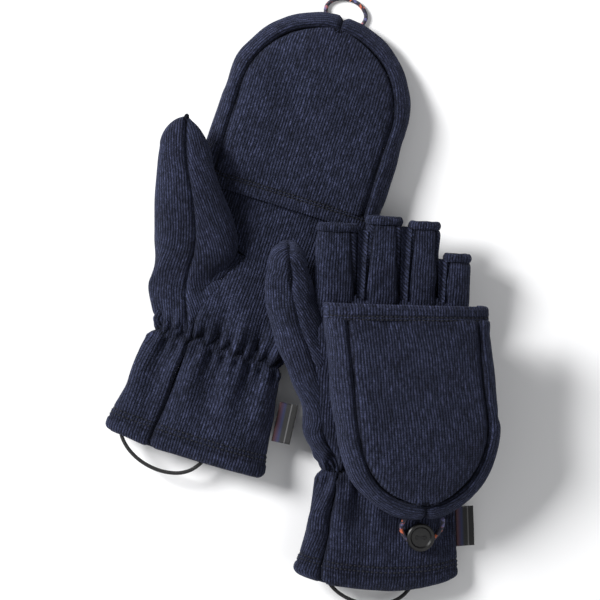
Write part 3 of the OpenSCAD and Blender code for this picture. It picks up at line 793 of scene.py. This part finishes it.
for k, side in enumerate(SIDES):
    halves = [thumb_half(k, False, 3, 51 + k), thumb_half(k, True, -20 if k == 0 else 20, 55 + k)]
    grids = [P for P, K in halves]
    soft = puff(grids, [pin_edges(P) for P in grids], 1.5, 0.012, 1.2)
    for (P0, K), P, name in zip(halves, soft, ("outer", "inner")):
        N = normals(P)
        fade = np.clip((np.arange(len(P))[::-1] / 5), 0, 1)[:, None]
        low = np.exp(-np.abs(P0[..., 1] - 4) / 6)
        d, dark = wrist_pucker(P0[..., 0] * -1.2, P0[..., 1], 5 + 3 * k)
        centre, base = "rl" if name == "inner" else "lr"
        seams = np.maximum(edge_drop(P, centre, 2.3, 1.6), edge_drop(P, base, 1.6, 1.6))
        d = d * low + 0.7 * waves(K[..., 0], K[..., 1], int(K[0, 0, 2]), 26) - seams
        P = P + N * (d * fade)[..., None]
        P[..., 2] = np.maximum(P[..., 2], TABLE)
        # painted shade along the seams and in the wrist puckers
        edges = edge_drop(P, "lr", 0.95, 1.0)
        if name == "inner":      # above the crotch the lower edge isn't a seam that shows
            above = ease((P0[..., 1] - THUMB_BASE - 0.05 * THUMB_REACH[k]) / 6)
            edges = edges * (1 - above) + edge_drop(P, "r", 0.95, 1.0) * above
        K = darker(K, edges + dark * low)
        make_cloth(f"{side}_thumb_{name}_cloth", k, P, K, FLEECE_T, f"{side}_thumb_{name}_panel")

# -------------------- finger stalls
FINGER_W = [s * (HAND_W - 3 * FINGER_GAP) for s in (0.3, 0.27, 0.235, 0.195)]
FINGER_REACH = [s * FINGER_L for s in (0.89, 1, 0.96, 0.58)]
TAPER, STALL_HEM = 2.6, 5
FINGERS = ("index", "middle", "ring", "little")


def finger_x(i, k):
    return HAND_CX[k] - HAND_W / 2 + sum(FINGER_W[:i]) + FINGER_W[i] / 2 + i * FINGER_GAP


def stall_section(i, k, y, inset, n=72):
    half = (FINGER_W[i] - TAPER * max(0, y - PALM) / FINGER_L) / 2
    a = np.radians(np.linspace(0, 360, 361))
    fine = xyz(finger_x(i, k) + (half - inset) * power(np.cos(a), 2 / 2.35), y,
               STALL_MID + (FINGER_T / 2 - inset) * power(np.sin(a), 2 / 2.35))
    line, run = even(fine, n + 1)
    return line[:-1], run[:-1]


for k, side in enumerate(SIDES):
    verts, faces, knit, base = [], [], [], 0
    for i, finger in enumerate(FINGERS):
        tip = PALM + FINGER_REACH[i]
        ys = np.linspace(PALM - 8, tip - STALL_HEM + 0.2, 34)
        P = np.array([stall_section(i, k, y, 0)[0] for y in ys])
        run = stall_section(i, k, PALM, 0)[1]
        a = np.arctan2(P[..., 2] - STALL_MID, P[..., 0] - finger_x(i, k))
        along = np.clip((P[..., 1] - PALM + 1) / (FINGER_REACH[i] - STALL_HEM), 0, 1)
        thr = 0.995 - 0.235 * along ** 0.8
        forked = ((i > 0) | (np.cos(a) > 0)) & ((i < 3) | (np.cos(a) < 0))     # the sides that face another stall
        K = xyz(run, P[..., 1], 61.0 + i + 4 * k)
        diag = xyz(K[..., 0] * 0.6 + K[..., 1] * 0.8, K[..., 1] * 0.6 - K[..., 0] * 0.8, K[..., 2])
        K = np.where(((np.abs(np.cos(a)) > thr) & forked)[..., None], diag, K)
        N = normals(P, True)
        seam = np.exp(-((np.abs(np.cos(a)) - thr) / 0.045) ** 2) * forked
        d = 0.5 * waves(P[..., 0], P[..., 1], 71 + i + 4 * k, 18) - 1.1 * seam
        d -= 0.9 * np.exp(-((P[..., 1] - ys[-1]) / 1.3) ** 2)
        # painted shade in the fork seams and at the hem's edge
        K = darker(K, 0.7 * seam + 0.7 * np.exp(-((P[..., 1] - ys[-1] + 0.3) / 0.8) ** 2))
        t = np.clip((P[..., 1] - PALM + 8) / 7, 0, 1)
        P = P + N * (d * t)[..., None] - N * (1.6 * (1 - t) ** 2)[..., None]
        make_cloth(f"{side}_{finger}_stall_cloth", k, P, K, 2.0, f"{side}_{finger}_stall", wrap=True)
        # turned hem: a rolled band, outer face over the edge and back inside
        prof = []
        for t in np.linspace(0, 1, 6):
            prof.append((tip - STALL_HEM + 0.3 + t * (STALL_HEM - 1.9), 0.25 - 0.75 * math.sin(t * 2.2)))
        for q in np.linspace(10, 170, 9):
            prof.append((tip - 1.5 + 1.5 * math.sin(rad(q)), 1.35 - 1.5 * math.cos(rad(q))))
        for t in np.linspace(0, 1, 4):
            prof.append((tip - 1.9 - t * (STALL_HEM - 2.4), 2.85))
        prof.append((tip - STALL_HEM + 0.2, 1.4))
        P = np.array([stall_section(i, k, y, inset)[0] for y, inset in prof])
        P[..., 1] += 0.3 * waves(P[..., 0], P[..., 2] * 2, 91 + i + 4 * k, 9)
        verts.append(P.reshape(-1, 3))
        knit.append(xyz(run, np.linspace(0, 14, len(prof))[:, None], 81.0 + i).reshape(-1, 3))
        faces += quads(grid_ids(*P.shape[:2], base), rows=True, cols=True)[:, ::-1].tolist()
        base += len(verts[-1])
    mesh_object(f"{side}_finger_hems_cloth", to_row(k, np.vstack(verts)), faces, np.vstack(knit), FLEECE,
                f"{side}_hand", [f"{side}_finger_hems"], mirror=(k == 1))

    # fourchettes: dished webs in the forks between the stalls
    verts, faces, knit, base = [], [], [], 0
    for i in range(3):
        x = finger_x(i, k) + FINGER_W[i] / 2 + FINGER_GAP / 2
        reach = min(FINGER_REACH[i], FINGER_REACH[i + 1]) - 2.5
        for face in (1, -1):
            m, n = 16, 9
            grid = np.zeros((m, n, 3))
            for j, t in enumerate(np.linspace(0, 1, m)):
                half = FINGER_GAP / 2 + 1.1 + TAPER / 2 * reach * t / FINGER_L
                u = np.linspace(-1, 1, n)
                z = STALL_MID + face * (5.6 - 3.6 * t + (0.9 + 1.6 * t) * u ** 2)
                grid[j] = xyz(x + half * u, PALM - 1 + reach * t, z)
            q = quads(grid_ids(m, n, base))
            faces += (q if face == 1 else q[:, ::-1]).tolist()
            g = grid.reshape(-1, 3)
            verts.append(g)
            knit.append(xyz(g[:, 0] * 0.7 + g[:, 1] * 0.7, g[:, 1] * 0.7 - g[:, 0] * 0.7, 31.0 + i))
            base += m * n
    mesh_object(f"{side}_fourchettes_cloth", to_row(k, np.vstack(verts)), faces, np.vstack(knit), FLEECE,
                f"{side}_hand", [f"{side}_fourchettes"], mirror=(k == 1))

# -------------------- caps


def cap_top(y):
    return row_at([(KNUCKLE, CAP_T), (KNUCKLE + 0.55 * CAP_L, CAP_T - 1), (CAP_TIP, TIP_T)], y)[1]


def leaned(k, P):
    out = P.copy()
    t = np.clip((CAP_TURN - P[..., 1]) / (CAP_TURN - CAP_HEM_Y[k]), 0, 1)
    out[..., 0] += SKEW[k] * np.maximum(0, P[..., 1] - KNUCKLE) + LEAN_OVER[k] * np.maximum(0, P[..., 2] - WALL)
    out[..., 1] += t * math.tan(rad(HEM_SLANT[k])) * (P[..., 0] - CAP_CX[k])
    return out


def cap_ys(y0, inset, n):
    """Rows from y0 to the tip, closer together round the end."""
    straight = np.linspace(y0, CAP_TURN, n, endpoint=False)
    a = np.radians(np.linspace(0, 88, 46))
    return np.concatenate([straight, CAP_TURN + (CAP_ROUND - inset) * np.sin(a)])


def cap_half_at(k, y, inset):
    if y <= CAP_TURN:
        return CAP_HALF[k] - inset
    return (CAP_HALF[k] - inset) * math.sqrt(max(0, 1 - ((y - CAP_TURN) / (CAP_ROUND - inset)) ** 2))


def cap_face(k, palm, y0, n=71):
    inset = RIM_IN + 0.2
    P, K = [], []
    for y in cap_ys(y0, inset, 36):
        half = max(0.3, cap_half_at(k, y, inset))
        u = np.linspace(1, -1, n) if palm else np.linspace(-1, 1, n)
        x = half * u
        z = cap_top(y) + (1 - u * u) * half / CAP_HALF[k] * 1.4 if palm else 0.0
        P.append(xyz(CAP_CX[k] + x, y, z))
        K.append(xyz(x, y, 101.0 + k + (0 if palm else 5)))
    return np.array(P), np.array(K)


def rim_face(k, hand, y0):
    """The side strip: along the outline, and round its section from the palm seam to the back seam."""
    spots = [(hand * CAP_HALF[k], y, hand, 0.0) for y in np.linspace(y0, CAP_TURN, 34, endpoint=False)]
    for a in np.linspace(0, 90, 64):
        nx, ny = math.cos(rad(a)) / CAP_HALF[k], math.sin(rad(a)) / CAP_ROUND
        m = math.hypot(nx, ny)
        x = max(0.15, CAP_HALF[k] * math.cos(rad(a)))
        spots.append((hand * x, CAP_TURN + CAP_ROUND * math.sin(rad(a)), hand * nx / m, ny / m))
    P, K, run, last = [], [], 0.0, None
    a = np.radians(np.linspace(90, -90, 34))
    out = -RIM_IN * (1 - np.cos(a))
    for x, y, nx, ny in spots:
        b = cap_top(y) / 2
        P.append(xyz(CAP_CX[k] + x + nx * out, y + ny * out, b + b * np.sin(a)))
        if last is not None:
            run += math.hypot(x - last[0], y - last[1])
        last = (x, y)
        K.append(xyz(np.linspace(0, 30, 34), run, 111.0 + k + (hand > 0) * 3))
    return np.array(P), np.array(K)


CAP_ROWS = (6.6, 8.4)       # the hem's two stitched rows
sewn_cap = {0: [], 1: []}
for k, side in enumerate(SIDES):
    body = f"{side}_cap"
    y0 = CAP_HEM_Y[k] + CAP_HEM_W + 0.1
    palm = cap_face(k, True, y0)
    rims = {-1: rim_face(k, -1, y0), 1: rim_face(k, 1, y0)}
    grids = [palm[0], rims[-1][0], rims[1][0]]
    soft = puff(grids, [pin_edges(g) for g in grids], 2.2, 0.012, 1.9, signs=[1, 1, -1])
    P, K = soft[0], palm[1]
    N = normals(P)
    N = N * np.sign(N[..., 2:3].mean())
    d = 0.7 * waves(K[..., 0], K[..., 1], 121 + k, 40) - edge_drop(P, "lrt", 2.2, 1.8)
    P = P + N * d[..., None]
    # painted shade along the seams
    K = darker(K, edge_drop(P, "lrt", 0.95, 1.1))
    make_cloth(f"{side}_cap_palm_cloth", k, leaned(k, P), K, FLEECE_T, f"{side}_cap_palm_panel", body,
               flip=normals(P)[..., 2].mean() < 0, folded=True)
    for g, hand, name in ((soft[1], -1, "thumb"), (soft[2], 1, "little")):
        K = rims[hand][1]
        N = normals(g)
        out = np.sign((N[..., 0] * hand).mean())
        N = N * out
        d = 0.5 * waves(K[..., 1], K[..., 0], 131 + k + hand, 26) - edge_drop(g, "lrt", 2.0, 1.6)
        # painted shade along the seams
        K = darker(K, edge_drop(g, "lrt", 0.95, 1.0))
        g2 = g + N * d[..., None]
        g2[..., 2] = np.maximum(g2[..., 2], TABLE)
        make_cloth(f"{side}_cap_{name}_rim_cloth", k, leaned(k, g2), K, FLEECE_T, f"{side}_cap_{name}_rim", body,
                   flip=out < 0, folded=True)
    P, K = cap_face(k, False, KNUCKLE + 2)
    P[..., 2] += edge_drop(P, "lrt", 0.9, 2.0)
    P[..., 0] += SKEW[k] * np.maximum(0, P[..., 1] - KNUCKLE)
    slantfade = np.clip((KNUCKLE + 40 - P[..., 1]) / 40, 0, 1)
    P[..., 1] += slantfade * math.tan(rad(SLANT)) * (P[..., 0] - CAP_CX[k])
    make_cloth(f"{side}_cap_back_cloth", k, P, K, FLEECE_T, f"{side}_cap_back_panel", body,
               flip=normals(P)[..., 2].mean() > 0, folded=True)

    # the hem across the palm side: a double layer with a rolled edge and two rows of stitching
    prof = [(CAP_HEM_W, 0.0)] + [(t, 0.0) for t in np.linspace(CAP_HEM_W - 0.3, 1.9, 21)]
    prof += [(1.7 - 1.7 * math.sin(rad(q)), 1.7 - 1.7 * math.cos(rad(q))) for q in np.linspace(12, 168, 10)]
    prof += [(t, 3.4) for t in np.linspace(2.2, CAP_HEM_W - 0.6, 5)] + [(CAP_HEM_W, 1.7)]
    P, K = [], []
    for dy, inset in prof:
        y = CAP_HEM_Y[k] + dy
        lo, hi = CAP_CX[k] - CAP_HALF[k], CAP_CX[k] + CAP_HALF[k]
        line, run = even(section(lo, hi, 0, CAP_T + 1.3, inset, np.linspace(-16, 196, 340), y), 96)
        if inset == 0:
            line[:, 2] += 0.4 - 0.8 * sum(math.exp(-((dy - at) / 0.7) ** 2) for at in CAP_ROWS)
        P.append(line)
        K.append(xyz(CAP_CX[k] - line[:, 0], CAP_HEM_Y[k] + (dy if inset == 0 else -dy), 101.0 + k))
    P, K = np.array(P), np.array(K)
    # painted shade along the two stitched rows
    K = darker(K, [[0.8 * (min(abs(dy - at) for at in CAP_ROWS) < 0.6) * (inset == 0)] for dy, inset in prof])
    P[..., 2] += 0.25 * waves(P[..., 0], P[..., 1] * 0, 141 + k, 30)
    Q = leaned(k, P)
    for at in CAP_ROWS:
        j = min(range(1, 22), key=lambda q: abs(prof[q][0] - at))
        line = Q[j, 6:-6]
        sewn_cap[k].append((line + (0, 0, 0.15), line - line.mean(0) * (1, 1, 0)))
    m, n = P.shape[:2]
    ids = grid_ids(m, n)
    faces = quads(ids, rows=True).tolist()
    v = np.vstack([Q.reshape(-1, 3), Q[:, :1].mean(0), Q[:, -1:].mean(0)])
    kn = np.vstack([K.reshape(-1, 4), K[0, 0], K[0, -1]])
    for j in range(m):
        faces.append([ids[j, 0], ids[(j + 1) % m, 0], m * n])
        faces.append([ids[(j + 1) % m, -1], ids[j, -1], m * n + 1])
    obj = mesh_object(f"{side}_cap_hem_cloth", to_row(k, fold(k, v)), faces, kn, FLEECE, body, [f"{side}_cap_hem"])
    bm = bmesh.new()
    bm.from_mesh(obj.data)
    bmesh.ops.recalc_face_normals(bm, faces=bm.faces)
    bm.to_mesh(obj.data)
    bm.free()

# -------------------- stitching


STITCH_PITCH, STITCH_LENGTH, STITCH_WIDTH = 2.6, 1.8, 0.8


def stitches(name, k, lines, body, folded=False):
    """Rows of single thread stitches along lines of points with their outward directions."""
    verts, faces = [], []
    for line, out in lines:
        run = run_along(line)
        for at in np.arange(STITCH_PITCH, run[-1] - STITCH_PITCH, STITCH_PITCH):
            ends = at_run(run, line, [at, at + STITCH_LENGTH])
            o = at_run(run, out, at)
            o /= np.linalg.norm(o)
            axis = ends[1] - ends[0]
            cross = np.cross(o, axis / np.linalg.norm(axis))
            base = len(verts)
            for q, r, lift in ((0, 0.35, -0.25), (0.25, 1, 0.1), (0.75, 1, 0.1), (1, 0.35, -0.25)):
                c = ends[0] + axis * q + o * lift
                for h in range(0, 360, 60):
                    verts.append(c + STITCH_WIDTH / 2 * r * (math.cos(rad(h)) * cross + math.sin(rad(h)) * o))
            faces += quads(grid_ids(4, 6, base), cols=True).tolist()
            faces += [[base + h for h in range(5, -1, -1)], [base + 18 + h for h in range(6)]]
    v = np.array(verts)
    if folded:
        v = fold(k, v)
    mesh_object(name, to_row(k, v), faces, np.zeros((len(v), 3)), SEAM_THREAD, body, [],
                mirror=(k == 1) != folded)


for k, side in enumerate(SIDES):
    stitches(f"{side}_cuff_hem_stitches", k, sewn[k], f"{side}_hand")
    stitches(f"{side}_cap_hem_stitches", k, sewn_cap[k], f"{side}_cap", folded=(k == 1))

# -------------------- labels, buttons
LABEL_Y, LABEL_LEN, LABEL_OUT, LABEL_GAP = -CUFF_L * 0.3, 23, 10, 1.2
LABEL_MID = CUFF_Z + CUFF_T - (CUFF_T + 0.6) / 2
FACE_Z, INSIDE_Z = 0.42, 0.12       # half the thickness of the folded ribbon, and of the gap in it


def cuff_edge(y):
    return row_at(body_rows(0), y)[2]


label_tilt = math.atan((cuff_edge(LABEL_Y - LABEL_LEN) - cuff_edge(LABEL_Y)) / LABEL_LEN)
# the ribbon's section: two layers folded at the outer edge
prof = [(x, FACE_Z) for x in np.linspace(-0.9, LABEL_OUT - 0.5, 12)]
prof += [(LABEL_OUT - 0.5 + 0.45 * math.sin(rad(q)), FACE_Z * math.cos(rad(q))) for q in np.linspace(20, 160, 5)]
prof += [(x, -FACE_Z) for x in np.linspace(LABEL_OUT - 0.5, -0.9, 12)]
prof += [(x, -INSIDE_Z) for x in np.linspace(0.1, LABEL_OUT - 1.2, 8)]
prof += [(x, INSIDE_Z) for x in np.linspace(LABEL_OUT - 1.2, 0.1, 8)]
out, up = np.array(prof).T
for k, side in enumerate(SIDES):
    P, K = [], []
    for t in np.linspace(0, 1, 24):
        curl = 0.10 * np.sin(t * 7 + 0.6) * out / LABEL_OUT
        edge = cuff_edge(LABEL_Y) + LABEL_GAP + math.tan(label_tilt) * LABEL_LEN * t
        P.append(xyz(edge + out * math.cos(label_tilt), LABEL_Y - LABEL_LEN * t + out * math.sin(label_tilt),
                     LABEL_MID + up + curl))
        K.append(xyz(out, LABEL_LEN * t, 1.0))
    P, K = np.array(P), np.array(K)
    m, n = P.shape[:2]
    ids = grid_ids(m, n)
    faces = quads(ids, cols=True).tolist()
    for end in (0, m - 1):
        for q in range(n // 2 - 1):
            a, b = ids[end, q], ids[end, q + 1]
            c, d = ids[end, n - 2 - q], ids[end, n - 1 - q]
            faces.append([a, b, c, d] if end == 0 else [d, c, b, a])
    mesh_object(f"{side}_label_ribbon", to_row(k, P.reshape(-1, 3)), faces, K.reshape(-1, 3), LABEL,
                f"{side}_label", [f"{side}_label"], mirror=(k == 1))

BUTTON = button_material()
for side in SIDES:
    for node, material in (("button", BUTTON), ("button_stitches", THREAD), ("thread_shank", THREAD)):
        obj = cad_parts[f"{side}_{node}"]
        for sl in obj.material_slots:
            sl.link = "OBJECT"
            sl.material = material

# -------------------- floor and light
floor = bpy.data.meshes.new("floor")
floor.from_pydata([(-3, -3, 0), (3, -3, 0), (3, 3, 0), (-3, 3, 0)], [], [(0, 1, 2, 3)])
floor_obj = bpy.data.objects.new("floor", floor)
bpy.context.collection.objects.link(floor_obj)
t = Tree("floor paper")
t.surface(Base_Color=(0.92, 0.92, 0.925, 1), Roughness=0.9)
floor.materials.append(t.mat)

world = bpy.data.worlds.new("studio")
world.use_nodes = True
world.node_tree.nodes["Background"].inputs[0].default_value = (0.97, 0.98, 1.0, 1)
world.node_tree.nodes["Background"].inputs[1].default_value = 0.30
bpy.context.scene.world = world


def area(name, at, size, watts):
    lamp = bpy.data.lights.new(name, "AREA")
    lamp.shape, lamp.size, lamp.energy = "SQUARE", size, watts
    obj = bpy.data.objects.new(name, lamp)
    obj.location = at
    obj.rotation_euler = (-Vector(at)).to_track_quat("-Z", "Y").to_euler()
    bpy.context.collection.objects.link(obj)


area("key", (-1.50, 0.80, 1.25), 0.7, 68)
area("fill", (1.2, -0.6, 1.9), 1.2, 9)
bpy.context.scene.view_settings.view_transform = "Standard"
